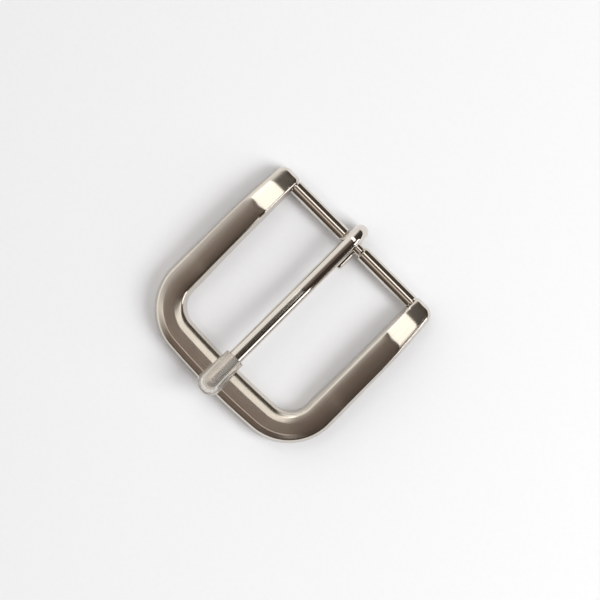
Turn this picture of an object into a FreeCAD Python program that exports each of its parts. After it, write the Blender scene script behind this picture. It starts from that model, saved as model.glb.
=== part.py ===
import FreeCAD, Part
import math
import os
import re
import Sketcher

# Single-prong belt buckle for a 35 mm dress strap, lying on a table as it comes to rest:
# on the flat foot of its front bar and on the hook of its prong.
# X runs along the hinge bar, Y from the front bar (-) to the hinge bar (+), Z up.
# Origin: under the middle of the whole buckle, at the height of the table.
# Lengths in millimetres, angles in degrees.

SIZES = {
    # frame: plan view, at its foot
    "half_width": 25.1,         # outside of an arm from the centre line
    "half_gap": 17.75,          # half of the clear width between the arms
    "back_edge": 23.15,         # back end of the arms
    "back_half_width": 24.25,   # the arms pull in a little towards their back end
    "taper_start": 4.0,         # where an arm starts to pull in
    "back_corner": 3.0,         # outer back corners
    "back_inner_corner": 1.8,   # inner back corners
    "front_corner": 13.2,       # outer front corners
    "front_corner_y": -11.2,
    "front_bow": 4.5,           # half angle of the front bar's outward bow
    "inner_corner": 5.0,        # inner front corners
    "inner_corner_y": -11.6,
    "inner_bow": 3.0,           # half angle of the bow of the inner edge
    "draft": 9.0,               # draft of the cast side walls
    "blank_height": 9.0,        # drafted blank that the side view is cut from
    # frame: side view
    "front_height": 5.5,        # top of the front bar
    "front_top_end": -18.0,     # where the top starts to climb towards the arms' crest
    "crest_height": 6.9,        # highest point of the arms
    "crest_y": 5.0,
    "bar_top_height": 5.65,     # top of the arms above the hinge bar
    "foot_end": -13.0,          # back end of the flat foot
    "arch_height": 1.8,         # underside of the arms at their crest
    "end_height": 1.5,          # underside of the arms at their back end
    "crown_round": 1.7,         # rounding of the top along both walls and the back ends
    # hinge bar
    "bar_y": 20.87,
    "bar_z": 3.6,
    "bar_dia": 3.35,
    "neck_dia": 2.4,            # turned neck that the prong swings on
    "neck_half": 2.45,          # half length of the neck
    "neck_chamfer": 0.45,
    "spigot_dia": 2.2,          # ends pressed into the arms
    "spigot_depth": 3.5,
    "shoulder_reach": 0.28,     # the shoulders meet the drafted walls this far past their foot
    # prong
    "prong_x": -0.76,           # the prong stands a little left of the middle of the neck
    "rod_dia": 3.5,
    "neck_play": 0.07,          # radial play of the loop on the neck
    "rear_slope": 3.4,          # fall of the rear run, away from the loop
    "kink_y": 7.1,
    "kink_round": 25.0,
    "front_slope": 5.35,        # climb of the front run onto the front bar
    "tip_y": -23.9,
    "tip_round": 1.5,
    "hook_dia": 2.3,            # the rod is swaged down for the hook under the bar
    "hook_end_y": 14.7,
    "hook_turn": 26.0,          # the bend of the hook leads out to the right of the rod
    "tail_round": 5.0,          # the tail swings back in line with the rod
    "hook_round": 0.6,
    # tip sleeve
    "sleeve_open_y": -15.2,     # mouth of the sleeve
    "sleeve_length": 10.4,
    "mouth_dia": 4.8,
    "shoulder_dia": 5.8,        # widest place, where the nose begins
    "shoulder_reach_in": 8.0,   # distance from the mouth to the widest place
    "nose_dia": 1.5,            # small flat at the end of the nose
    "nose_round": 3.0,
    "sleeve_play": 0.05,        # radial play on the rod
    "bore_depth": 9.3,
}


def make_sheet(doc):
    sheet = doc.addObject("Spreadsheet::Sheet", "Sizes")
    for row, (name, value) in enumerate(SIZES.items(), start=1):
        sheet.set(f"A{row}", name)
        sheet.set(f"B{row}", repr(value))
        sheet.setAlias(f"B{row}", name)
    doc.recompute()


def full(expression):
    # Puts the sheet's name before every size that an expression mentions.
    return re.sub(r"[a-z_]+", lambda m: "Sizes." + m[0] if m[0] in SIZES else m[0], expression)


def value_of(obj, expression):
    return float(obj.evalExpression(full(expression)))


def bind(obj, **expressions):
    for path, expression in expressions.items():
        obj.setExpression(path.replace("__", "."), full(expression))


def new_body(doc, label):
    body = doc.addObject("PartDesign::Body", "Body_" + label)
    body.Label = label
    return body


def new_sketch(body, name, role, x="0", y="0", z="0", turn=None):
    # x, y, z shift the sketch in its plane's own axes; turn rotates it about the plane's y axis.
    sketch = body.newObject("Sketcher::SketchObject", name)
    plane = next(f for f in body.Origin.OriginFeatures if f.Role == role)
    sketch.AttachmentSupport = [(plane, "")]
    sketch.MapMode = "FlatFace"
    if turn:
        upright = FreeCAD.Rotation(FreeCAD.Vector(0, 1, 0), value_of(sketch, turn))
        sketch.AttachmentOffset = FreeCAD.Placement(FreeCAD.Vector(), upright)
        bind(sketch, AttachmentOffset__Rotation__Angle=turn)
    bind(sketch, AttachmentOffset__Base__x=x)
    bind(sketch, AttachmentOffset__Base__y=y)
    bind(sketch, AttachmentOffset__Base__z=z)
    return sketch


def constrain(sketch, kind, refs, expression):
    value = value_of(sketch, expression)
    index = sketch.addConstraint(Sketcher.Constraint(kind, *refs, value))
    sketch.setExpression(f"Constraints[{index}]", full(expression))


def arc_between(start, end, radius, side):
    # Minor arc from start to end; side +1 bulges to the right of the way there, -1 to the left.
    chord = end - start
    half = chord.Length / 2
    outward = FreeCAD.Vector(chord.y, -chord.x, 0).normalize() * side
    rise = radius - math.sqrt(max(radius * radius - half * half, 0.0))
    return Part.Arc(start, (start + end) * 0.5 + outward * rise, end)


def vertex_at(sketch, index, point):
    # A sketch stores every arc counter-clockwise, so its first vertex can be at either end.
    return 1 if (sketch.getPoint(index, 1) - point).Length < 1e-6 else 2


def outline(sketch, corners, arcs=None, closed=True):
    # corners: (x, y) expressions in order. arcs: {side's number: (radius expression, bulge side)}.
    arcs = arcs or {}
    points = [FreeCAD.Vector(value_of(sketch, x), value_of(sketch, y), 0) for x, y in corners]
    sides = list(zip(points, points[1:] + points[:1]))
    if not closed:
        sides.pop()
    for i, (start, end) in enumerate(sides):
        if i in arcs:
            radius, side = arcs[i]
            sketch.addGeometry(arc_between(start, end, value_of(sketch, radius), side), False)
        else:
            sketch.addGeometry(Part.LineSegment(start, end), False)
    for i, (start, end) in enumerate(sides):
        first = vertex_at(sketch, i, start)
        constrain(sketch, "DistanceX", (i, first), corners[i][0])
        constrain(sketch, "DistanceY", (i, first), corners[i][1])
        if closed or i + 1 < len(sides):
            following = (i + 1) % len(sides)
            joint = (i, 3 - first, following, vertex_at(sketch, following, end))
            sketch.addConstraint(Sketcher.Constraint("Coincident", *joint))
        else:
            constrain(sketch, "DistanceX", (i, 3 - first), corners[-1][0])
            constrain(sketch, "DistanceY", (i, 3 - first), corners[-1][1])
        if i in arcs:
            constrain(sketch, "Radius", (i,), arcs[i][0])


def circle(sketch, diameter, x="0", y="0"):
    centre = FreeCAD.Vector(value_of(sketch, x), value_of(sketch, y), 0)
    radius = value_of(sketch, diameter) / 2
    sketch.addGeometry(Part.Circle(centre, FreeCAD.Vector(0, 0, 1), radius), False)
    constrain(sketch, "DistanceX", (0, 3), x)
    constrain(sketch, "DistanceY", (0, 3), y)
    constrain(sketch, "Diameter", (0,), diameter)


def middle(edge):
    return edge.valueAt((edge.FirstParameter + edge.LastParameter) / 2)


def round_edges(body, name, feature, radius, wanted):
    fillet = body.newObject("PartDesign::Fillet", name)
    edges = enumerate(feature.Shape.Edges, start=1)
    fillet.Base = (feature, [f"Edge{i}" for i, edge in edges if wanted(edge)])
    bind(fillet, Radius=radius)
    body.Document.recompute()
    return fillet


def symmetric_pocket(body, name, sketch, width):
    pocket = body.newObject("PartDesign::Pocket", name)
    pocket.Profile = sketch
    pocket.SideType = "Symmetric"
    bind(pocket, Length=width)
    body.Document.recompute()
    return pocket


def revolve(body, name, sketch, axis):
    turned = body.newObject("PartDesign::Revolution", name)
    turned.Profile = sketch
    turned.ReferenceAxis = (sketch, [axis])
    turned.Angle = 360
    return turned


# ---- frame ----

def frame_plan(body):
    # The outline at the top of the blank, inside its foot all round by the run of the draft.
    sketch = new_sketch(body, "FramePlan", "XY_Plane", z="blank_height")
    run = "blank_height * tan(draft)"
    gap = f"(half_gap + {run})"
    back = f"(back_edge - {run})"
    inner_x = f"(half_gap - inner_corner + (inner_corner + {run}) * sin(inner_bow))"
    inner_y = f"(inner_corner_y - (inner_corner + {run}) * cos(inner_bow))"
    front_x = f"(half_width - front_corner + (front_corner - {run}) * sin(front_bow))"
    front_y = f"(front_corner_y - (front_corner - {run}) * cos(front_bow))"
    right_inside = [
        (gap, back),
        (gap, "inner_corner_y"),
        (inner_x, inner_y),
    ]
    right_outside = [
        (front_x, front_y),
        (f"half_width - {run}", "front_corner_y"),
        (f"half_width - {run}", "taper_start"),
        (f"back_half_width - {run}", "back_edge - back_corner"),
        ("back_half_width - back_corner", back),
    ]
    left_inside = [(f"0 - ({x})", y) for x, y in reversed(right_inside)]
    left_outside = [(f"0 - ({x})", y) for x, y in reversed(right_outside)]
    flank = arch_radius("back_edge - back_corner - taper_start", "half_width - back_half_width")
    arcs = {
        1: (f"inner_corner + {run}", -1),
        2: (f"{inner_x} / sin(inner_bow)", -1),
        3: (f"inner_corner + {run}", -1),
        6: (f"back_corner - {run}", 1),
        7: (flank, 1),
        9: (f"front_corner - {run}", 1),
        10: (f"{front_x} / sin(front_bow)", 1),
        11: (f"front_corner - {run}", 1),
        13: (flank, 1),
        14: (f"back_corner - {run}", 1),
    }
    outline(sketch, right_inside + left_inside + left_outside + right_outside, arcs)
    return sketch


def arch_radius(reach, drop):
    # Radius of an arc that is level at its top and falls by drop over reach.
    return f"((({reach}) * ({reach}) + ({drop}) * ({drop})) / (2 * ({drop})))"


def sway_radius(reach, drop):
    # Radius of two equal arcs that climb by drop over reach and are level at both ends.
    return f"({arch_radius(reach, drop)} / 2)"


def frame_top(body):
    # Waste above the frame in side view; the sketch's x is Y, its y is Z.
    sketch = new_sketch(body, "FrameTop", "YZ_Plane")
    sway = sway_radius("crest_y - front_top_end", "crest_height - front_height")
    fall = arch_radius("bar_y - crest_y", "crest_height - bar_top_height")
    past = "(half_width - crest_y)"
    back_top = f"crest_height - {fall} + sqrt({fall} * {fall} - {past} * {past})"
    corners = [
        ("0 - half_width", "front_height"),
        ("front_top_end", "front_height"),
        ("(front_top_end + crest_y) / 2", "(front_height + crest_height) / 2"),
        ("crest_y", "crest_height"),
        ("half_width", back_top),
        ("half_width", "2 * blank_height"),
        ("0 - half_width", "2 * blank_height"),
    ]
    outline(sketch, corners, {1: (sway, 1), 2: (sway, -1), 3: (fall, -1)})
    return sketch


def frame_underside(body):
    # Waste under the arched arms; the front bar keeps its flat foot.
    sketch = new_sketch(body, "FrameUnderside", "YZ_Plane")
    sway = sway_radius("crest_y - foot_end", "arch_height")
    fall = arch_radius("half_width - crest_y", "arch_height - end_height")
    corners = [
        ("foot_end", "0"),
        ("(foot_end + crest_y) / 2", "arch_height / 2"),
        ("crest_y", "arch_height"),
        ("half_width", "end_height"),
        ("half_width", "0 - blank_height"),
        ("foot_end", "0 - blank_height"),
    ]
    outline(sketch, corners, {0: (sway, 1), 1: (sway, -1), 2: (fall, -1)})
    return sketch


def is_top_rim(shape, edge):
    # True where the top meets a wall, not where two stretches of the top run on smoothly.
    point = middle(edge)
    first, second = shape.ancestorsOfType(edge, Part.Face)
    normals = [face.normalAt(*face.Surface.parameter(point)) for face in (first, second)]
    tops = [normal for normal in normals if normal.z > math.cos(math.radians(45))]
    return len(tops) == 1


def add_frame(doc):
    body = new_body(doc, "frame")
    blank = body.newObject("PartDesign::Pad", "FrameBlank")
    blank.Profile = frame_plan(body)
    blank.Reversed = True
    bind(blank, Length="blank_height", TaperAngle="draft")
    doc.recompute()
    symmetric_pocket(body, "TopCut", frame_top(body), "3 * half_width")
    arched = symmetric_pocket(body, "UndersideCut", frame_underside(body), "3 * half_width")

    half_depth = value_of(body, "back_edge / 2")
    inner_ends = value_of(body, "half_gap + back_inner_corner")
    upright = value_of(body, "end_height")

    def at_inner_back_corner(edge):
        point = middle(edge)
        return point.y > half_depth and abs(point.x) < inner_ends and edge.BoundBox.ZLength > upright

    corners = round_edges(body, "InnerBackCorners", arched, "back_inner_corner", at_inner_back_corner)
    round_edges(body, "Crown", corners, "crown_round",
                lambda edge: is_top_rim(corners.Shape, edge))
    sockets = new_sketch(body, "BarSockets", "YZ_Plane")
    circle(sockets, "spigot_dia", "bar_y", "bar_z")
    symmetric_pocket(body, "Sockets", sockets, "2 * (half_gap + spigot_depth)")
    return body


# ---- hinge bar ----

def add_hinge_bar(doc):
    body = new_body(doc, "hinge_bar")
    sketch = new_sketch(body, "BarProfile", "XY_Plane")
    half = [
        ("half_gap + spigot_depth", "0"),
        ("half_gap + spigot_depth", "spigot_dia / 2"),
        ("half_gap + shoulder_reach", "spigot_dia / 2"),
        ("half_gap + shoulder_reach", "bar_dia / 2"),
        ("neck_half + neck_chamfer", "bar_dia / 2"),
        ("neck_half", "neck_dia / 2"),
    ]
    outline(sketch, half + [(f"0 - ({x})", y) for x, y in reversed(half)])
    revolve(body, "BarTurned", sketch, "H_Axis")
    bind(body, Placement__Base__y="bar_y", Placement__Base__z="bar_z")
    return body


# ---- prong ----

LOOP_RADIUS = "(neck_dia / 2 + neck_play + rod_dia / 2)"    # neck axis to the middle of the rod
HOOK_RADIUS = "(neck_dia / 2 + neck_play + hook_dia / 2)"   # the same where the rod is thin
KINK_Z = (f"(bar_z + {LOOP_RADIUS} * cos(rear_slope)"
          f" - (bar_y - {LOOP_RADIUS} * sin(rear_slope) - kink_y) * tan(rear_slope))")


def rod_path(body):
    # From the back of the loop over the bar and forward to the tip; the sketch's x is Y.
    sketch = new_sketch(body, "RodPath", "YZ_Plane", z="prong_x")
    lead = "(kink_round * tan((rear_slope + front_slope) / 2))"
    corners = [
        (f"bar_y + {LOOP_RADIUS}", "bar_z"),
        (f"bar_y - {LOOP_RADIUS} * sin(rear_slope)", f"bar_z + {LOOP_RADIUS} * cos(rear_slope)"),
        (f"kink_y + {lead} * cos(rear_slope)", f"{KINK_Z} + {lead} * sin(rear_slope)"),
        (f"kink_y - {lead} * cos(front_slope)", f"{KINK_Z} + {lead} * sin(front_slope)"),
        ("tip_y", f"{KINK_Z} + (kink_y - tip_y) * tan(front_slope)"),
    ]
    outline(sketch, corners, {0: (LOOP_RADIUS, 1), 2: ("kink_round", -1)}, closed=False)
    return sketch


def hook_path(body):
    # From the back of the loop down and forward under the neck, in a plane turned about Z.
    sketch = new_sketch(body, "HookPath", "YZ_Plane", x=f"bar_y + {LOOP_RADIUS}", z="prong_x",
                        turn="hook_turn")
    corners = [
        ("0", "bar_z"),
        (f"0 - {HOOK_RADIUS}", f"bar_z - {HOOK_RADIUS}"),
    ]
    outline(sketch, corners, {0: (HOOK_RADIUS, -1)}, closed=False)
    return sketch


def tail_path(body):
    # From under the neck, swinging back in line with the rod and running beside it.
    sketch = new_sketch(body, "TailPath", "XY_Plane", z=f"bar_z - {HOOK_RADIUS}")
    start_x = f"prong_x + {HOOK_RADIUS} * sin(hook_turn)"
    start_y = f"bar_y + {LOOP_RADIUS} - {HOOK_RADIUS} * cos(hook_turn)"
    straight_x = f"{start_x} + tail_round * (1 - cos(hook_turn))"
    corners = [
        (start_x, start_y),
        (straight_x, f"{start_y} - tail_round * sin(hook_turn)"),
        (straight_x, "hook_end_y"),
    ]
    outline(sketch, corners, {0: ("tail_round", -1)}, closed=False)
    return sketch


def pipe(body, name, profile, path):
    swept = body.newObject("PartDesign::AdditivePipe", name)
    swept.Profile = profile
    swept.Spine = (path, [f"Edge{i + 1}" for i in range(len(path.Geometry))])
    return swept


def add_prong(doc):
    body = new_body(doc, "prong")
    back_of_loop = new_sketch(body, "RodSection", "XY_Plane", z="bar_z")
    circle(back_of_loop, "rod_dia", "prong_x", f"bar_y + {LOOP_RADIUS}")
    pipe(body, "Rod", back_of_loop, rod_path(body))
    doc.recompute()

    thin = new_sketch(body, "HookSection", "XZ_Plane",
                      x=f"prong_x + {HOOK_RADIUS} * sin(hook_turn)",
                      y=f"bar_z - {HOOK_RADIUS}",
                      z=f"0 - (bar_y + {LOOP_RADIUS} - {HOOK_RADIUS} * cos(hook_turn))",
                      turn="hook_turn")
    circle(thin, "hook_dia")
    swaged = pipe(body, "SwagedBend", back_of_loop, hook_path(body))
    swaged.Sections = [(thin, [""])]
    swaged.Transformation = "Multisection"
    doc.recompute()
    tail = pipe(body, "HookTail", thin, tail_path(body))
    doc.recompute()

    tip_y = value_of(body, "tip_y")
    tip = round_edges(body, "TipRound", tail, "tip_round",
                      lambda edge: middle(edge).y < tip_y + 1 and edge.isClosed())
    hook_end = value_of(body, "hook_end_y")
    hook_top = value_of(body, "bar_z")

    def at_hook_end(edge):
        point = middle(edge)
        return abs(point.y - hook_end) < 1 and point.z < hook_top and edge.isClosed()

    round_edges(body, "HookRound", tip, "hook_round", at_hook_end)
    return body


# ---- tip sleeve ----

def add_tip_sleeve(doc):
    # Turned about its own Y axis with its mouth at 0, then laid along the prong's front run.
    body = new_body(doc, "tip_sleeve")
    sketch = new_sketch(body, "SleeveProfile", "XY_Plane")
    bore = "(rod_dia / 2 + sleeve_play)"
    corners = [
        ("mouth_dia / 2", "0"),
        ("shoulder_dia / 2", "0 - shoulder_reach_in"),
        ("nose_dia / 2", "0 - sleeve_length"),
        ("0", "0 - sleeve_length"),
        ("0", "0 - bore_depth"),
        (bore, f"{bore} - bore_depth"),
        (bore, "0"),
    ]
    outline(sketch, corners, {1: ("nose_round", -1), 4: (bore, 1)})
    revolve(body, "SleeveTurned", sketch, "V_Axis")
    tilt = FreeCAD.Rotation(FreeCAD.Vector(-1, 0, 0), value_of(body, "front_slope"))
    body.Placement = FreeCAD.Placement(FreeCAD.Vector(), tilt)
    bind(body, Placement__Rotation__Angle="front_slope")
    bind(body, Placement__Base__x="prong_x", Placement__Base__y="sleeve_open_y")
    bind(body, Placement__Base__z=f"{KINK_Z} + (kink_y - sleeve_open_y) * tan(front_slope)")
    return body


def check(doc, bodies):
    for obj in doc.Objects:
        if "Invalid" in obj.State or "Error" in obj.State:
            raise RuntimeError(f"{obj.Label} failed: {obj.State}")
    for body in bodies:
        if body.Shape.isNull() or not body.Shape.isValid() or len(body.Shape.Solids) != 1:
            raise RuntimeError(f"{body.Label} is not one valid solid")


def main():
    doc = FreeCAD.newDocument("BeltBuckle")
    make_sheet(doc)
    bodies = [add_frame(doc), add_hinge_bar(doc), add_prong(doc), add_tip_sleeve(doc)]
    doc.recompute()
    check(doc, bodies)
    os.makedirs("parts", exist_ok=True)
    for body in bodies:
        body.Shape.exportStep(f"parts/{body.Label}.step")
        print(body.Label, body.Shape.BoundBox, round(body.Shape.Volume, 2))


main()
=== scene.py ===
# Belt buckle for a 35 mm dress strap: satin nickel frame, polished bar and prong, clear vinyl tip sleeve
import math
import bmesh
import bpy
from mathutils import Matrix, Vector


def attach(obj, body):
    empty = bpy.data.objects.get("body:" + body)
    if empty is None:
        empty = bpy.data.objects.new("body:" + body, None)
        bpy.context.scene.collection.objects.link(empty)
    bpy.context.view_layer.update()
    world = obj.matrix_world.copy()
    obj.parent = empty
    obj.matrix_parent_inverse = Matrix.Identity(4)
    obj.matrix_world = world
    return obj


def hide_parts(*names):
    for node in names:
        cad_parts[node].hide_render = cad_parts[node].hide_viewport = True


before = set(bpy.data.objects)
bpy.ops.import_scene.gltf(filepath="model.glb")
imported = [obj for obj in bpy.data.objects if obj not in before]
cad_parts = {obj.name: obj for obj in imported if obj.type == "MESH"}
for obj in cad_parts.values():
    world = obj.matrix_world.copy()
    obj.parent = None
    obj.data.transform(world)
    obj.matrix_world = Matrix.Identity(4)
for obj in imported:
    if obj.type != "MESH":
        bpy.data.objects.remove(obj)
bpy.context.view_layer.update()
mm = 0.001    # sizes below are in millimetres and degrees


# Helpers

def hexColour(text):
    # sRGB hex to linear light
    parts = [int(text[i:i + 2], 16) / 255 for i in (0, 2, 4)]
    linear = [c / 12.92 if c <= 0.04045 else ((c + 0.055) / 1.055) ** 2.4 for c in parts]
    return (*linear, 1.0)


def addNode(tree, kind, inputs=None, **settings):
    # One node with its settings; each input is a value or another node's output socket
    node = tree.nodes.new(kind)
    for name, value in settings.items():
        setattr(node, name, value)
    for socket, value in (inputs or {}).items():
        if isinstance(value, bpy.types.NodeSocket):
            tree.links.new(value, node.inputs[socket])
        else:
            node.inputs[socket].default_value = value
    return node


def mixColours(tree, share, low, high):
    return addNode(tree, "ShaderNodeMix", {0: share, 6: low, 7: high}, data_type="RGBA")


def objectNoise(tree, place, scale, detail):
    return addNode(tree, "ShaderNodeTexNoise",
                   {"Vector": place.outputs["Object"], "Scale": scale, "Detail": detail})


def newMaterial(name):
    material = bpy.data.materials.new(name)
    material.use_nodes = True
    return material, material.node_tree, material.node_tree.nodes["Principled BSDF"]


def smoothStep(value, low=0.0, high=1.0):
    share = min(max((value - low) / (high - low), 0.0), 1.0)
    return share * share * (3 - 2 * share)


def mix(a, b, share):
    return a + (b - a) * share


def quadratic(a, b, c, share):
    # A curve from a to c that is drawn towards b
    return (1 - share) ** 2 * a + 2 * share * (1 - share) * b + share * share * c


def newObject(name, points, faces, material, sharpAngle=40):
    mesh = bpy.data.meshes.new(name)
    mesh.from_pydata([Vector(p) * mm for p in points], [], faces)
    mesh.materials.append(material)
    mesh.shade_smooth()
    mesh.set_sharp_from_angle(angle=math.radians(sharpAngle))
    piece = bpy.data.objects.new(name, mesh)
    bpy.context.scene.collection.objects.link(piece)
    return piece


def lathe(profile, steps):
    # Rings about the x axis from (place, radius) pairs; a radius of 0 closes a pole
    points = []
    rings = []
    for place, radius in profile:
        if radius == 0:
            rings.append([len(points)] * steps)
            points.append((place, 0, 0))
            continue
        rings.append(range(len(points), len(points) + steps))
        for i in range(steps):
            turn = 2 * math.pi * i / steps
            points.append((place, radius * math.cos(turn), radius * math.sin(turn)))
    faces = []
    for ring, after in zip(rings, rings[1:]):
        for i in range(steps):
            j = (i + 1) % steps
            corners = [ring[i], ring[j], after[j], after[i]]
            faces.append(list(dict.fromkeys(corners)))
    return points, faces


# The hinge bar's place and sizes, shared by the bar and the prong

hinge = {"y": 20.87, "z": 3.6, "barDiameter": 3.35, "neckDiameter": 2.4, "neckHalf": 2.45,
         "neckChamfer": 0.45, "halfGap": 17.75, "shoulderReach": 0.28, "spigotDiameter": 2.2, "spigotDepth": 3.5}


# Materials

def satinNickel():
    # Nickel plate brushed along the band: warm grey metal with soft, stretched reflections
    material, tree, shader = newMaterial("satinBrushedNickelPlate")
    brushed = addNode(tree, "ShaderNodeUVMap", uv_map="brushed")
    # Real brush lines are about 0.03 mm apart; 0.3 mm by 9 mm is the finest that shows
    lines = addNode(tree, "ShaderNodeMapping", {"Vector": brushed.outputs[0], "Scale": (3300, 110, 1)})
    grain = addNode(tree, "ShaderNodeTexNoise", {"Vector": lines.outputs[0], "Scale": 1.0, "Detail": 4.0,
                                                 "Roughness": 0.6}, noise_dimensions="2D")
    cloud = addNode(tree, "ShaderNodeTexNoise", {"Vector": brushed.outputs[0], "Scale": 140.0, "Detail": 2.0},
                    noise_dimensions="2D")
    # The base colour is lightened towards EDE6DA along the frame's rounded edges and front crease: partly real
    # edge wear on the plate, partly a painted highlight on the creases. The roughness is lowered there too.
    wearAndHighlightMask = addNode(tree, "ShaderNodeAttribute", attribute_name="wearAndPaintedHighlight")
    tone = mixColours(tree, grain.outputs[0], hexColour("CFC6BB"), hexColour("DFD8CE"))
    bright = mixColours(tree, wearAndHighlightMask.outputs["Fac"], tone.outputs[2], hexColour("EDE6DA"))
    rough = addNode(tree, "ShaderNodeMapRange", {0: cloud.outputs[0], 3: 0.16, 4: 0.21})
    wearAndPaintedHighlight = addNode(tree, "ShaderNodeMath", {0: wearAndHighlightMask.outputs["Fac"], 1: -0.06, 2: rough.outputs[0]},
                     operation="MULTIPLY_ADD")
    relief = addNode(tree, "ShaderNodeBump",
                     {"Height": grain.outputs[0], "Strength": 0.12, "Distance": 0.00003})
    tangent = addNode(tree, "ShaderNodeTangent", direction_type="UV_MAP", uv_map="brushed")
    for socket, source in (("Base Color", bright.outputs[2]), ("Roughness", wearAndPaintedHighlight.outputs[0]),
                           ("Normal", relief.outputs[0]), ("Tangent", tangent.outputs[0])):
        tree.links.new(source, shader.inputs[socket])
    shader.inputs["Metallic"].default_value = 1.0
    shader.inputs["Anisotropic"].default_value = 0.9
    return material


def polishedNickel():
    # Nickel plate polished over drawn steel: near mirror, with faint draw marks and polishing haze
    material, tree, shader = newMaterial("polishedNickelPlate")
    place = addNode(tree, "ShaderNodeTexCoord")
    # Polishing leaves waves about 1 mm long; they bend the reflections slightly
    waves = objectNoise(tree, place, 900.0, 2.0)
    haze = objectNoise(tree, place, 2600.0, 3.0)
    tone = mixColours(tree, haze.outputs[0], hexColour("DAD3CA"), hexColour("E4DED6"))
    rough = addNode(tree, "ShaderNodeMapRange", {0: haze.outputs[0], 3: 0.08, 4: 0.11})
    relief = addNode(tree, "ShaderNodeBump",
                     {"Height": waves.outputs[0], "Strength": 0.015, "Distance": 0.00003})
    for socket, source in (("Base Color", tone.outputs[2]), ("Roughness", rough.outputs[0]),
                           ("Normal", relief.outputs[0])):
        tree.links.new(source, shader.inputs[socket])
    shader.inputs["Metallic"].default_value = 1.0
    return material


def clearVinyl():
    # Dipped soft vinyl: clear with a milky, faintly yellow haze, so the rod shows through softly
    material, tree, shader = newMaterial("clearMilkyVinyl")
    place = addNode(tree, "ShaderNodeTexCoord")
    cloud = objectNoise(tree, place, 350.0, 3.0)
    tone = mixColours(tree, cloud.outputs[0], hexColour("F1ECE4"), hexColour("F9F6F1"))
    rough = addNode(tree, "ShaderNodeMapRange", {0: cloud.outputs[0], 3: 0.06, 4: 0.14})
    relief = addNode(tree, "ShaderNodeBump",
                     {"Height": cloud.outputs[0], "Strength": 0.12, "Distance": 0.0001})
    for socket, source in (("Base Color", tone.outputs[2]), ("Roughness", rough.outputs[0]),
                           ("Normal", relief.outputs[0])):
        tree.links.new(source, shader.inputs[socket])
    shader.inputs["Transmission Weight"].default_value = 0.86
    shader.inputs["IOR"].default_value = 1.5
    return material


def studioPaper():
    # Matt white background paper: an even pale tone with a trace of fibre
    material, tree, shader = newMaterial("whiteStudioPaper")
    place = addNode(tree, "ShaderNodeTexCoord")
    fibre = objectNoise(tree, place, 900.0, 2.0)
    tone = mixColours(tree, fibre.outputs[0], hexColour("E6E7E9"), hexColour("E9EAEC"))
    tree.links.new(tone.outputs[2], shader.inputs["Base Color"])
    shader.inputs["Roughness"].default_value = 0.9
    shader.inputs["Specular IOR Level"].default_value = 0.1
    return material


# Frame: a U of drafted walls with a crowned face, bevelled along the front bar

band = {"halfWidth": 25.1, "halfGap": 17.75, "backEdge": 23.15, "backHalfWidth": 24.25, "taperStart": 4.0,
        "backCorner": 3.0, "backInnerCorner": 1.8, "frontCorner": 13.2, "frontCornerY": -11.2, "frontBow": 4.5,
        "innerCorner": 5.0, "innerCornerY": -11.6, "innerBow": 3.0, "draft": 9.0,
        "frontInnerDraft": 2.0, "armInnerDraft": 6.5,
        "facetWidth": 2.8, "facetLean": 0.2, "levelMiddle": 4.0, "levelBow": 0.004, "bevelStart": 5.5,
        "bevelLean": 0.4, "ridge": 3.2, "crownInner": 0.055, "crownOuter": 0.036,
        "endInner": 0.012, "endOuter": 0.5,
        "frontHeight": 5.5, "crestHeight": 6.9, "climbStart": -18.0, "crestY": 5.0,
        "fallStart": 6.0, "facetStart": 11.8, "facetSlope": 0.112, "facetBow": 0.004,
        "endStart": 18.0, "endSlope": 0.09,
        "archHeight": 1.8, "endHeight": 1.5, "footEnd": -13.0, "footEdge": 0.3,
        "frontWidth": 7.9, "armWidth": 7.35, "capY": 19.6}


def sway(value, low, high):
    # Two equal arcs that join two levels
    share = min(max((value - low) / (high - low), 0.0), 1.0)
    return 2 * share * share if share < 0.5 else 1 - 2 * (1 - share) ** 2


def softRamp(value, softness):
    # Zero below 0 and value above, with a rounded corner between
    return 0.5 * (value + math.sqrt(value * value + softness * softness))


def crestAt(y):
    # The arms fall gently from their crest, then more steeply on the facet at the hinge end
    rise = (band["crestHeight"] - band["frontHeight"]) * sway(y, band["climbStart"], band["crestY"])
    gentle = min(max(y - band["fallStart"], 0.0), band["facetStart"] - band["fallStart"])
    past = softRamp(y - band["facetStart"], 0.3)
    fall = 0.0026 * gentle * gentle + band["facetSlope"] * past + band["facetBow"] * past * past
    fall += band["endSlope"] * softRamp(y - band["endStart"], 0.25)
    return band["frontHeight"] + rise - fall


def undersideAt(y):
    if y > band["crestY"]:
        share = (y - band["crestY"]) / (band["halfWidth"] - band["crestY"])
        return band["archHeight"] - (band["archHeight"] - band["endHeight"]) * share * share
    return band["archHeight"] * sway(y, band["footEnd"], band["crestY"])


def frontDrop(across):
    # Section of the front bar: a facet along the inner edge, near level in the middle, bevelled outside
    facet = band["facetLean"] * softRamp(band["facetWidth"] - across, 0.12)
    bevel = band["bevelLean"] * softRamp(across - band["bevelStart"], 0.13)
    return facet + band["levelBow"] * (across - band["levelMiddle"]) ** 2 + bevel


def armDrop(across, y):
    # Section of an arm: a crown whose ridge is nearer to the inner edge, flatter on the hinge end's facet
    out = across - band["ridge"]
    if out < 0:
        crown = band["crownInner"] * out ** 2
        flat = band["endInner"] * out ** 2
    else:
        crown = band["crownOuter"] * out ** 2
        flat = band["endOuter"] * (out / band["ridge"]) ** 4
    return mix(crown, flat, smoothStep(y, band["facetStart"] - 1.2, band["facetStart"] + 0.4))


def faceHeight(y, across, width, armShare):
    front = frontDrop(across * band["frontWidth"] / width)
    arm = armDrop(across * band["armWidth"] / width, y)
    return crestAt(y) - mix(front, arm, armShare)


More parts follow.
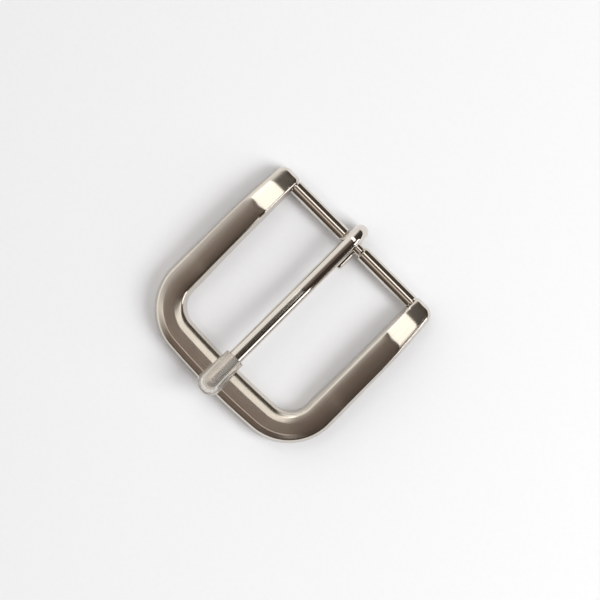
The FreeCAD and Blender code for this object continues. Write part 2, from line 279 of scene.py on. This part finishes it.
def outerX(y):
    # The flank pulls in towards the hinge end along an arc
    reach = band["backEdge"] - band["backCorner"] - band["taperStart"]
    drop = band["halfWidth"] - band["backHalfWidth"]
    radius = (reach * reach + drop * drop) / (2 * drop)
    past = max(y - band["taperStart"], 0.0)
    return band["halfWidth"] - radius + math.sqrt(radius * radius - past * past)


def arcPoint(x, y, radius, angle):
    # Angle in degrees from straight down (-Y) towards +X
    turn = math.radians(angle)
    return Vector((x + radius * math.sin(turn), y - radius * math.cos(turn)))


def stations():
    # (inner point, outer point, share of arm section, run along the band) from the middle to the hinge end
    found = []
    innerX = band["halfGap"] - band["innerCorner"]
    outerCentre = band["halfWidth"] - band["frontCorner"]
    innerStart = arcPoint(innerX, band["innerCornerY"], band["innerCorner"], band["innerBow"])
    outerStart = arcPoint(outerCentre, band["frontCornerY"], band["frontCorner"], band["frontBow"])
    innerRadius = innerStart.x / math.sin(math.radians(band["innerBow"]))
    outerRadius = outerStart.x / math.sin(math.radians(band["frontBow"]))
    innerBowY = innerStart.y + innerRadius * math.cos(math.radians(band["innerBow"]))
    outerBowY = outerStart.y + outerRadius * math.cos(math.radians(band["frontBow"]))
    steps = 36
    for i in range(steps):
        inner = arcPoint(0, innerBowY, innerRadius, band["innerBow"] * i / steps)
        outer = arcPoint(0, outerBowY, outerRadius, band["frontBow"] * i / steps)
        found.append((inner, outer, 0.0, inner.x))
    steps = 56
    middleRadius = (band["innerCorner"] + band["frontCorner"]) / 2
    for i in range(steps):
        share = i / steps
        inner = arcPoint(innerX, band["innerCornerY"], band["innerCorner"], mix(band["innerBow"], 90, share))
        outer = arcPoint(outerCentre, band["frontCornerY"], band["frontCorner"],
                         mix(band["frontBow"], 90, share))
        run = innerStart.x + middleRadius * share * math.pi / 2
        found.append((inner, outer, smoothStep(share, 0.05, 0.85), run))
    steps = 60
    for i in range(steps + 1):
        share = i / steps
        inner = Vector((band["halfGap"], mix(band["innerCornerY"], band["capY"], share)))
        y = mix(band["frontCornerY"], band["capY"], share)
        run = innerStart.x + middleRadius * math.pi / 2 + y - band["frontCornerY"]
        found.append((inner, Vector((outerX(y), y)), 1.0, run))
    return found


capStraightPoints = 6     # up the rest of the inner edge
capInnerPoints = 16       # up to the end of the inner corner


def capOutline():
    # (edge point, inward direction, width of the top rounding) round the hinge end from inside to outside
    found = []
    innerCentre = Vector((band["halfGap"] + band["backInnerCorner"],
                          band["backEdge"] - band["backInnerCorner"]))
    outerCentre = Vector((band["backHalfWidth"] - band["backCorner"], band["backEdge"] - band["backCorner"]))
    for i in range(1, capStraightPoints + 1):
        share = i / (capStraightPoints + 1)
        y = mix(band["capY"], innerCentre.y, share)
        found.append((Vector((band["halfGap"], y)), Vector((1, 0)), mix(1.25, 1.45, share)))
    steps = capInnerPoints - capStraightPoints - 1
    for i in range(steps + 1):
        out = Vector((-math.cos(math.pi / 2 * i / steps), math.sin(math.pi / 2 * i / steps)))
        found.append((innerCentre + out * band["backInnerCorner"], -out, mix(1.45, 1.75, i / steps)))
    for i in range(1, 6):
        x = mix(innerCentre.x, outerCentre.x, i / 6)
        found.append((Vector((x, band["backEdge"])), Vector((0, -1)), 1.75 + 0.15 * math.sin(math.pi * i / 6)))
    for i in range(14):
        out = Vector((math.sin(math.radians(87) * i / 13), math.cos(math.radians(87) * i / 13)))
        found.append((outerCentre + out * band["backCorner"], -out, mix(1.75, 1.3, i / 13)))
    return found


def ribs():
    # Every rib climbs from the foot, up a wall and over the face to the spine; the loop closes round the U
    inside = []
    outside = []
    for number, (inner, outer, armShare, run) in enumerate(stations()):
        width = (outer - inner).length
        into = (outer - inner) / width
        spine = (inner + outer) / 2
        common = {"spine": spine, "key": number, "width": width, "armShare": armShare, "run": run}
        inside.append({**common, "edge": inner, "into": into, "side": -1, "round": mix(1.6, 1.45, armShare),
                       "draft": mix(band["frontInnerDraft"], band["armInnerDraft"], armShare)})
        outside.append({**common, "edge": outer, "into": -into, "side": 1, "round": mix(1.3, 1.2, armShare),
                        "draft": band["draft"]})
    last = inside[-1]
    capSpine = Vector((last["spine"].x, band["capY"] + 0.15))
    cap = []
    for number, (edge, into, rounding) in enumerate(capOutline()):
        side = -1 if number < capInnerPoints else 1
        share = smoothStep(number, capStraightPoints, capInnerPoints)
        draft = mix(band["armInnerDraft"], band["draft"], share)
        cap.append({"edge": edge, "into": into, "spine": capSpine, "key": "cap", "width": None, "armShare": 1.0,
                    "run": None, "side": side, "round": rounding, "draft": draft, "runStart": last["run"]})
    return inside + cap + outside[::-1]


faceShares = [0, 0.12, 0.24, 0.33, 0.37, 0.4, 0.42, 0.44, 0.46, 0.48, 0.51, 0.55, 0.64, 0.76, 0.88, 1]


def acrossAt(rib, place, depth):
    # How far a plan point lies from the inner edge, and the width of the band there
    if rib["width"] is None:
        return place.x - band["halfGap"], outerX(min(place.y, band["capY"])) - band["halfGap"]
    return (depth if rib["side"] < 0 else rib["width"] - depth), rib["width"]


def ribPoints(rib):
    # (x, y, z, edge wear and painted crease highlight) from the underside's spine to the face's spine
    slope = math.tan(math.radians(rib["draft"]))

    def planAt(depth):
        return rib["edge"] + rib["into"] * depth

    def faceAt(place, depth):
        across, width = acrossAt(rib, place, depth)
        return faceHeight(place.y, across, width, rib["armShare"])

    start = rib["round"]
    startPlace = planAt(start)
    startHeight = faceAt(startPlace, start)
    step = 0.02
    climb = (faceAt(planAt(start + step), start + step) - startHeight) / step
    cornerDepth = (startHeight - climb * start) / (1 / slope - climb)
    cornerHeight = cornerDepth / slope
    reach = math.hypot(start - cornerDepth, startHeight - cornerHeight)
    wallTop = cornerHeight - reach
    foot = undersideAt(rib["edge"].y)
    footDepth = foot * slope
    edge = band["footEdge"]
    points = []
    underStart = planAt(footDepth + edge)
    for share in (1.0, 0.5, 0.0):
        place = underStart.lerp(rib["spine"], share)
        points.append((place.x, place.y, undersideAt(place.y), 0.0))
    # The foot's rounding is lightened a little in the same edge mask
    for share in (0.33, 0.67, 1.0):
        depth = footDepth + edge * (1 - share) ** 2 + slope * edge * share * share
        place = planAt(depth)
        points.append((place.x, place.y, foot + edge * share * share, 0.3 * share))
    for share in (0.25, 0.5, 0.75, 1.0):
        height = mix(foot + edge, wallTop, share)
        place = planAt(height * slope)
        points.append((place.x, place.y, height, 0.0))
    # The top rounding is lightened in the edge mask: partly real edge wear, partly a painted highlight along the
    # crease
    for i in range(1, 13):
        share = i / 12
        depth = quadratic(wallTop * slope, cornerDepth, start, share)
        height = quadratic(wallTop, cornerHeight, startHeight, share)
        place = planAt(depth)
        points.append((place.x, place.y, height, 0.5 * math.sin(math.pi * share)))
    for share in faceShares[1:]:
        place = startPlace.lerp(rib["spine"], share)
        depth = (place - rib["edge"]).length
        across, width = acrossAt(rib, place, depth)
        # A lighter line at the front bar's bevel crease: mostly a painted crease highlight, partly real wear
        past = across * band["frontWidth"] / width - band["bevelStart"]
        crease = math.exp(-(past / 0.13) ** 2) * (1 - rib["armShare"])
        points.append((place.x, place.y, faceAt(place, depth), crease))
    return points


def makeFrame(material):
    half = ribs()
    points = []
    uvs = []
    wearAndPaintedHighlight = []
    shared = {}
    columns = []
    loop = [(rib, 1) for rib in half] + [(rib, -1) for rib in half[-2:0:-1]]
    for rib, hand in loop:
        line = ribPoints(rib)
        column = []
        travel = 0.0
        lengths = [0.0]
        for before, after in zip(line, line[1:]):
            travel += math.dist(before[:3], after[:3])
            lengths.append(travel)
        for number, (x, y, z, wornAndPaintedHighlight) in enumerate(line):
            ends = number in (0, len(line) - 1)
            key = (hand if rib["key"] != 0 else 1, rib["key"], number) if ends else None
            if key in shared:
                column.append(shared[key])
                continue
            run = rib["run"] if rib["run"] is not None else rib["runStart"] + y - band["capY"]
            column.append(len(points))
            if ends:
                shared[key] = len(points)
            points.append((x * hand, y, z))
            uvs.append((rib["side"] * (travel - lengths[number]) * mm, run * hand * mm))
            wearAndPaintedHighlight.append(wornAndPaintedHighlight)
        columns.append(column)
    faces = []
    for i, column in enumerate(columns):
        after = columns[(i + 1) % len(columns)]
        for k in range(len(column) - 1):
            corners = list(dict.fromkeys([column[k], after[k], after[k + 1], column[k + 1]]))
            if len(corners) > 2:
                faces.append(corners)
    piece = newObject("satinFrame", points, faces, material, 60)
    layer = piece.data.uv_layers.new(name="brushed")
    for corner in piece.data.loops:
        layer.data[corner.index].uv = uvs[corner.vertex_index]
    # The mask of edge wear and painted crease highlight, read by the satin material
    wearAndHighlightMask = piece.data.attributes.new("wearAndPaintedHighlight", "FLOAT", "POINT")
    wearAndHighlightMask.data.foreach_set("value", wearAndPaintedHighlight)
    return piece


# Hinge bar: turned, with a chamfered neck for the prong and a spigot at each end

def makeHingeBar(material):
    radius = hinge["barDiameter"] / 2
    neck = hinge["neckDiameter"] / 2
    spigot = hinge["spigotDiameter"] / 2
    shoulder = hinge["halfGap"] + hinge["shoulderReach"]
    end = hinge["halfGap"] + hinge["spigotDepth"]
    neckEnd = hinge["neckHalf"] + hinge["neckChamfer"]
    edge = 0.08    # edges are broken by hand after turning
    half = [(hinge["neckHalf"] - edge, neck), (hinge["neckHalf"], neck + edge * 0.5),
            (neckEnd - edge, radius - edge), (neckEnd + edge, radius),
            (shoulder - edge, radius), (shoulder, radius - edge), (shoulder, spigot),
            (end - edge, spigot), (end, spigot - edge), (end, 0)]
    profile = [(-x, r) for x, r in reversed(half)] + half
    points, faces = lathe(profile, 64)
    piece = newObject("hingeBar", points, faces, material, 25)
    piece.data.transform(Matrix.Translation(Vector((0, hinge["y"], hinge["z"])) * mm))
    return piece


# Prong: one rod, bent round the neck of the bar and thinned to a hook

rod = {"x": -0.76, "diameter": 3.5, "play": 0.07, "rearSlope": 3.4, "frontSlope": 5.35, "kinkY": 7.1,
       "kinkRound": 25.0, "tipY": -23.9, "tipRound": 1.5, "hookDiameter": 2.3, "hookEndY": 14.7,
       "hookTurn": 26.0, "tailRound": 5.0, "hookRound": 0.6, "sides": 64}
loopRadius = hinge["neckDiameter"] / 2 + rod["play"] + rod["diameter"] / 2
hookRadius = hinge["neckDiameter"] / 2 + rod["play"] + rod["hookDiameter"] / 2
rear = math.radians(rod["rearSlope"])
front = math.radians(rod["frontSlope"])
kinkZ = (hinge["z"] + loopRadius * math.cos(rear)
         - (hinge["y"] - loopRadius * math.sin(rear) - rod["kinkY"]) * math.tan(rear))


def frontRunHeight(y):
    # The rod's middle on its straight front run
    return kinkZ + (rod["kinkY"] - y) * math.tan(front)


def roundedEnd(distance, radius, rounding):
    # Share of the full radius at a distance from a rounded end
    if distance >= rounding:
        return 1.0
    short = rounding - math.sqrt(max(rounding ** 2 - (rounding - distance) ** 2, 0.0))
    return max((radius - short) / radius, 0.02)


def rodPath():
    # (point, share of the way from rod to hook diameter) from the tip to the end of the hook
    path = []
    lead = rod["kinkRound"] * math.tan((rear + front) / 2)
    run = Vector((0, -math.cos(front), math.sin(front)))
    kink = Vector((rod["x"], rod["kinkY"], kinkZ))
    tip = Vector((rod["x"], rod["tipY"], frontRunHeight(rod["tipY"])))
    kinkStart = kink + run * lead
    steps = [1.5 * (1 - math.cos(math.pi / 2 * i / 12)) for i in range(13)]
    length = (kinkStart - tip).length
    steps += [mix(1.5, length, i / 40) for i in range(1, 41)]
    path += [(tip - run * s, 0.0) for s in steps]
    centre = kinkStart + Vector((0, math.sin(front), math.cos(front))) * rod["kinkRound"]
    for i in range(1, 21):
        lean = mix(front, -rear, i / 20)
        path.append((centre - Vector((0, math.sin(lean), math.cos(lean))) * rod["kinkRound"], 0.0))
    axis = Vector((rod["x"], hinge["y"], hinge["z"]))
    top = axis + Vector((0, -math.sin(rear), math.cos(rear))) * loopRadius
    kinkEnd = path[-1][0]
    path += [(kinkEnd.lerp(top, i / 16), 0.0) for i in range(1, 17)]
    for i in range(1, 33):
        turn = mix(math.pi / 2 + rear, 0, i / 32)
        path.append((axis + Vector((0, math.cos(turn), math.sin(turn))) * loopRadius, 0.0))
    back = path[-1][0]
    turned = math.radians(rod["hookTurn"])
    along = Vector((math.sin(turned), -math.cos(turned), 0))
    for i in range(1, 25):
        turn = math.pi / 2 * i / 24
        place = back + along * hookRadius * (1 - math.cos(turn)) - Vector((0, 0, hookRadius * math.sin(turn)))
        path.append((place, smoothStep(i / 24)))
    under = path[-1][0]
    side = Vector((-math.cos(turned), -math.sin(turned), 0)) * rod["tailRound"]
    for i in range(1, 13):
        swing = turned * (1 - i / 12)
        place = under + side + Vector((math.cos(swing), math.sin(swing), 0)) * rod["tailRound"]
        path.append((place, 1.0))
    straight = path[-1][0]
    tail = straight.y - rod["hookEndY"]
    steps = [mix(0, tail - 0.6, i / 12) for i in range(1, 13)]
    steps += [tail - 0.6 * (1 - math.sin(math.pi / 2 * i / 6)) for i in range(1, 7)]
    path += [(straight - Vector((0, s, 0)), 1.0) for s in steps]
    return path


def roundStockNodes():
    # Sweeps a round section along a path; "thin" mixes the two diameters and "ending" rounds the ends
    tree = bpy.data.node_groups.new("roundStockAlongPath", "GeometryNodeTree")
    tree.interface.new_socket("Geometry", in_out="INPUT", socket_type="NodeSocketGeometry")
    for name in ("Rod Diameter", "Hook Diameter"):
        tree.interface.new_socket(name, in_out="INPUT", socket_type="NodeSocketFloat")
    tree.interface.new_socket("Sides", in_out="INPUT", socket_type="NodeSocketInt")
    tree.interface.new_socket("Finish", in_out="INPUT", socket_type="NodeSocketMaterial")
    tree.interface.new_socket("Geometry", in_out="OUTPUT", socket_type="NodeSocketGeometry")
    given = addNode(tree, "NodeGroupInput")
    thin = addNode(tree, "GeometryNodeInputNamedAttribute", {"Name": "thin"}, data_type="FLOAT")
    ending = addNode(tree, "GeometryNodeInputNamedAttribute", {"Name": "ending"}, data_type="FLOAT")
    size = addNode(tree, "ShaderNodeMix", {0: thin.outputs[0], 2: given.outputs["Rod Diameter"],
                                           3: given.outputs["Hook Diameter"]}, data_type="FLOAT")
    half = addNode(tree, "ShaderNodeMath", {0: size.outputs[0], 1: 0.5}, operation="MULTIPLY")
    radius = addNode(tree, "ShaderNodeMath", {0: half.outputs[0], 1: ending.outputs[0]}, operation="MULTIPLY")
    path = addNode(tree, "GeometryNodeMeshToCurve", {"Mesh": given.outputs["Geometry"]})
    section = addNode(tree, "GeometryNodeCurvePrimitiveCircle",
                      {"Resolution": given.outputs["Sides"], "Radius": 1.0})
    swept = addNode(tree, "GeometryNodeCurveToMesh",
                    {"Curve": path.outputs[0], "Profile Curve": section.outputs[0], "Scale": radius.outputs[0],
                     "Fill Caps": True})
    smooth = addNode(tree, "GeometryNodeSetShadeSmooth", {"Geometry": swept.outputs[0]})
    real = addNode(tree, "GeometryNodeRealizeInstances", {"Geometry": smooth.outputs[0]})
    finish = addNode(tree, "GeometryNodeSetMaterial", {"Geometry": real.outputs[0],
                                                       "Material": given.outputs["Finish"]})
    addNode(tree, "NodeGroupOutput", {"Geometry": finish.outputs[0]})
    return tree


def makeProng(material):
    path = rodPath()
    line = bpy.data.meshes.new("prongPath")
    places = [p * mm for p, thin in path]
    line.from_pydata(places, [(i, i + 1) for i in range(len(places) - 1)], [])
    travel = [0.0]
    for before, after in zip(path, path[1:]):
        travel.append(travel[-1] + (after[0] - before[0]).length)
    endings = []
    for s in travel:
        tip = roundedEnd(s, rod["diameter"] / 2, rod["tipRound"])
        hook = roundedEnd(travel[-1] - s, rod["hookDiameter"] / 2, rod["hookRound"])
        endings.append(min(tip, hook))
    for name, values in (("thin", [thin for p, thin in path]), ("ending", endings)):
        line.attributes.new(name, "FLOAT", "POINT").data.foreach_set("value", values)
    guide = bpy.data.objects.new("prongGuide", line)
    bpy.context.scene.collection.objects.link(guide)
    modifier = guide.modifiers.new("roundStock", "NODES")
    modifier.node_group = roundStockNodes()
    sockets = {item.name: item.identifier for item in modifier.node_group.interface.items_tree
               if item.in_out == "INPUT"}
    modifier[sockets["Rod Diameter"]] = rod["diameter"] * mm
    modifier[sockets["Hook Diameter"]] = rod["hookDiameter"] * mm
    modifier[sockets["Sides"]] = rod["sides"]
    modifier[sockets["Finish"]] = material
    bpy.context.view_layer.update()
    shaped = guide.evaluated_get(bpy.context.evaluated_depsgraph_get())
    mesh = bpy.data.meshes.new_from_object(shaped)
    bpy.data.objects.remove(guide)
    piece = bpy.data.objects.new("prongRod", mesh)
    bpy.context.scene.collection.objects.link(piece)
    return piece


# Tip sleeve: dipped vinyl cap with a blind bore

sleeve = {"openY": -15.2, "length": 10.4, "mouth": 4.8, "shoulder": 5.8, "shoulderIn": 8.0, "nose": 1.5,
          "noseRound": 3.0, "play": 0.05, "boreDepth": 9.3, "lip": 0.15}


def arcThrough(start, end, radius, steps):
    # Points after start on the arc to end that bulges to the left of the way there
    a = Vector(start)
    b = Vector(end)
    half = (b - a) / 2
    inward = Vector((half.y, -half.x)).normalized()
    centre = a + half + inward * math.sqrt(radius * radius - half.length_squared)
    first = math.atan2(a.y - centre.y, a.x - centre.x)
    last = math.atan2(b.y - centre.y, b.x - centre.x)
    turns = [mix(first, last, i / steps) for i in range(1, steps + 1)]
    return [(centre.x + radius * math.cos(t), centre.y + radius * math.sin(t)) for t in turns]


def makeSleeve(material):
    bore = rod["diameter"] / 2 + sleeve["play"]
    mouth = sleeve["mouth"] / 2
    shoulder = sleeve["shoulder"] / 2
    nose = sleeve["nose"] / 2
    profile = [(sleeve["boreDepth"], 0)]
    for i in range(1, 13):
        turn = math.pi / 2 * i / 12
        profile.append((sleeve["boreDepth"] - bore * (1 - math.cos(turn)), bore * math.sin(turn)))
    boreEnd = sleeve["boreDepth"] - bore
    profile += [(mix(boreEnd, sleeve["lip"], i / 12), bore) for i in range(1, 13)]
    middle = (bore + mouth) / 2
    wall = (mouth - bore) / 2
    for i in range(1, 12):
        turn = math.pi * i / 12
        profile.append((sleeve["lip"] * (1 - math.sin(turn)), middle - wall * math.cos(turn)))
    profile += [(mix(sleeve["lip"], sleeve["shoulderIn"], i / 20), mix(mouth, shoulder, i / 20))
                for i in range(21)]
    profile += arcThrough((sleeve["shoulderIn"], shoulder), (sleeve["length"], nose), sleeve["noseRound"], 16)
    profile += [(sleeve["length"], nose * 0.5), (sleeve["length"], 0)]
    points, faces = lathe(profile, 72)
    piece = newObject("tipSleeve", points, faces, material, 70)
    # The lathe's x axis runs from the mouth to the nose: down the rod's front run
    tilt = math.radians(rod["frontSlope"])
    down = Vector((0, -math.cos(tilt), math.sin(tilt)))
    up = Vector((0, math.sin(tilt), math.cos(tilt)))
    lay = Matrix((down, up, down.cross(up))).transposed().to_4x4()
    mouthPoint = Vector((rod["x"], sleeve["openY"], frontRunHeight(sleeve["openY"])))
    piece.data.transform(Matrix.Translation(mouthPoint * mm) @ lay)
    return piece


# The pieces, each with its body, CAD node and material slot

nickelSatin = satinNickel()
nickelPolished = polishedNickel()
vinyl = clearVinyl()
pieces = (
    (makeFrame(nickelSatin), "frame", "frame", "satin_nickel"),
    (makeHingeBar(nickelPolished), "frame", "hinge_bar", "polished_nickel"),
    (makeProng(nickelPolished), "prong", "prong", "polished_nickel"),
    (makeSleeve(vinyl), "tip_sleeve", "tip_sleeve", "clear_vinyl"),
)
for piece, body, node, slot in pieces:
    shape = bmesh.new()
    shape.from_mesh(piece.data)
    bmesh.ops.recalc_face_normals(shape, faces=shape.faces)
    shape.to_mesh(piece.data)
    shape.free()
    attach(piece, body)
    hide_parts(node)
    print(piece.name, "faces:", len(piece.data.polygons))


# Studio: paper, lights, tent and camera

studio = {"floorHalf": 3.0, "cameraHeight": 0.5, "fieldWidth": 0.1339, "aim": (0.38, 3.79), "turn": 45.0,
          "floorDrop": 0.02, "keyAzimuth": 26.0, "keyElevation": 47.0, "keySize": 0.55, "keyWatts": 7.2,
          "fillSize": 1.6, "fillWatts": 2.9}


def makeFloor():
    reach = studio["floorHalf"] / mm
    level = -studio["floorDrop"]
    corners = [(-reach, -reach, level), (reach, -reach, level), (reach, reach, level), (-reach, reach, level)]
    floor = newObject("floor", corners, [(0, 1, 2, 3)], studioPaper())


def areaLight(name, azimuth, elevation, distance, width, height, watts, colour="FFFFFF", mirrored=True):
    # A soft light that looks at the object; mirrored says whether metal and vinyl show it
    light = bpy.data.lights.new(name, "AREA")
    light.shape = "RECTANGLE"
    light.size = width
    light.size_y = height
    light.energy = watts
    light.color = hexColour(colour)[:3]
    flat = math.cos(math.radians(elevation))
    out = Vector((flat * math.cos(math.radians(azimuth)), flat * math.sin(math.radians(azimuth)),
                  math.sin(math.radians(elevation))))
    lamp = bpy.data.objects.new(name, light)
    lamp.location = out * distance
    lamp.rotation_euler = out.to_track_quat("Z", "Y").to_euler()
    lamp.visible_glossy = mirrored
    lamp.visible_transmission = mirrored
    lamp.visible_camera = False
    bpy.context.scene.collection.objects.link(lamp)


def makeWorld():
    # A tent round the table: brown-grey overhead, white towards -X, dark towards +X and at both Y ends
    world = bpy.data.worlds.new("studioTent")
    world.use_nodes = True
    tree = world.node_tree
    place = addNode(tree, "ShaderNodeTexCoord")
    way = addNode(tree, "ShaderNodeSeparateXYZ", {0: place.outputs["Generated"]})
    left = addNode(tree, "ShaderNodeMapRange", {0: way.outputs[0], 1: -0.15, 2: -0.62},
                   interpolation_type="SMOOTHSTEP")
    right = addNode(tree, "ShaderNodeMapRange", {0: way.outputs[0], 1: 0.0, 2: 0.55})
    far = addNode(tree, "ShaderNodeMapRange", {0: way.outputs[1], 1: 0.06, 2: 0.16},
                  interpolation_type="SMOOTHSTEP")
    low = addNode(tree, "ShaderNodeMapRange", {0: way.outputs[2], 1: 0.03, 2: 0.0},
                  interpolation_type="SMOOTHSTEP")
    overhead = hexColour("7C6E65")
    near = addNode(tree, "ShaderNodeMapRange", {0: way.outputs[1], 1: -0.78, 2: -0.88},
                   interpolation_type="SMOOTHSTEP")
    ends = addNode(tree, "ShaderNodeMath", {0: far.outputs[0], 1: near.outputs[0]}, operation="MAXIMUM")
    withEnds = mixColours(tree, ends.outputs[0], overhead, hexColour("4A453F"))
    withRight = mixColours(tree, right.outputs[0], withEnds.outputs[2], hexColour("3A332F"))
    withLeft = mixColours(tree, left.outputs[0], withRight.outputs[2], hexColour("FFFEFC"))
    tent = mixColours(tree, low.outputs[0], withLeft.outputs[2], hexColour("EAE8E6"))
    # The camera itself sees an even pale backdrop, so that low views stay plain
    seen = addNode(tree, "ShaderNodeLightPath")
    shown = mixColours(tree, seen.outputs["Is Camera Ray"], tent.outputs[2], hexColour("F1F2F3"))
    tree.links.new(shown.outputs[2], tree.nodes["Background"].inputs["Color"])
    bpy.context.scene.world = world


def makeCamera():
    data = bpy.data.cameras.new("camera")
    data.sensor_width = 36.0
    data.lens = 36.0 * studio["cameraHeight"] / studio["fieldWidth"]
    data.clip_start = 0.01
    camera = bpy.data.objects.new("camera", data)
    camera.location = (studio["aim"][0] * mm, studio["aim"][1] * mm, studio["cameraHeight"])
    camera.rotation_euler = (0, 0, math.radians(studio["turn"]))
    bpy.context.scene.collection.objects.link(camera)
    bpy.context.scene.camera = camera


makeFloor()
makeWorld()
makeCamera()
areaLight("keyLight", studio["keyAzimuth"], studio["keyElevation"], 1.0, studio["keySize"], studio["keySize"],
          studio["keyWatts"], mirrored=False)
areaLight("overheadFill", 90, 89, 1.2, studio["fillSize"], studio["fillSize"], studio["fillWatts"],
          "F6F8FF", mirrored=False)
areaLight("backCard", 90, 70.0, 0.9, 1.2, 0.25, 1.5, "FFFDF8")
areaLight("sideCard", 17.6, 19, 0.9, 0.46, 0.29, 1.25)
areaLight("frontCard", -90, 66, 0.9, 0.8, 0.2, 0.35, "FFF8F2")
bpy.context.scene.view_settings.view_transform = "Standard"
print("studio ready")
